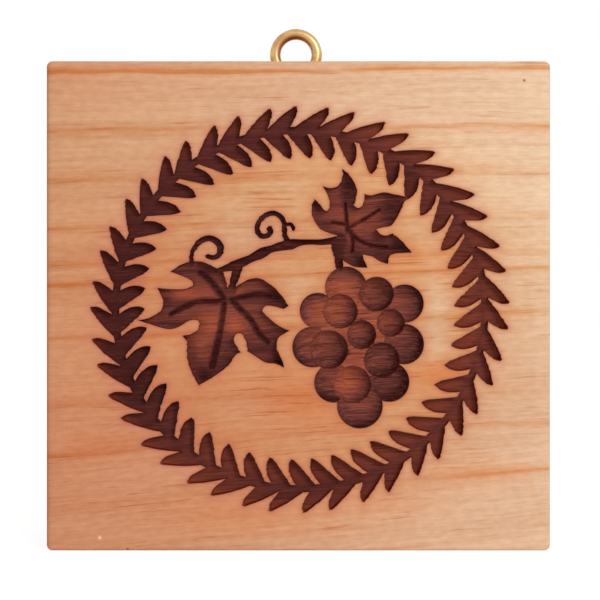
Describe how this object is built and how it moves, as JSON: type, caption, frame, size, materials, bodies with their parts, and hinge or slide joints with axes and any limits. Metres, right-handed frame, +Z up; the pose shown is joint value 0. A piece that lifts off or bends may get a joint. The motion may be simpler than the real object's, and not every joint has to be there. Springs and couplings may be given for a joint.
{
  "type": "cookie mould",
  "caption": "Square carved wooden cookie mould: grapes and vine leaves inside a leaf wreath, hung by a brass screw eye in its top edge.",
  "frame": {"origin": "middle of the board's bottom edge face, half way through its thickness", "axes": "+Z up as the mould hangs, +X to the right seen from the carved face, +Y towards the plain back; the carved face looks along -Y"},
  "size_m": [0.1016, 0.019, 0.1072],
  "materials": {
    "cherry": "planed and sanded cherry, bare, with a dark scorched carving",
    "brass": "plain brass wire, slightly dulled"
  },
  "bodies": {
    "root": {"mould_block": "cherry", "screw_eye": "brass"}
  },
  "joints": []
}
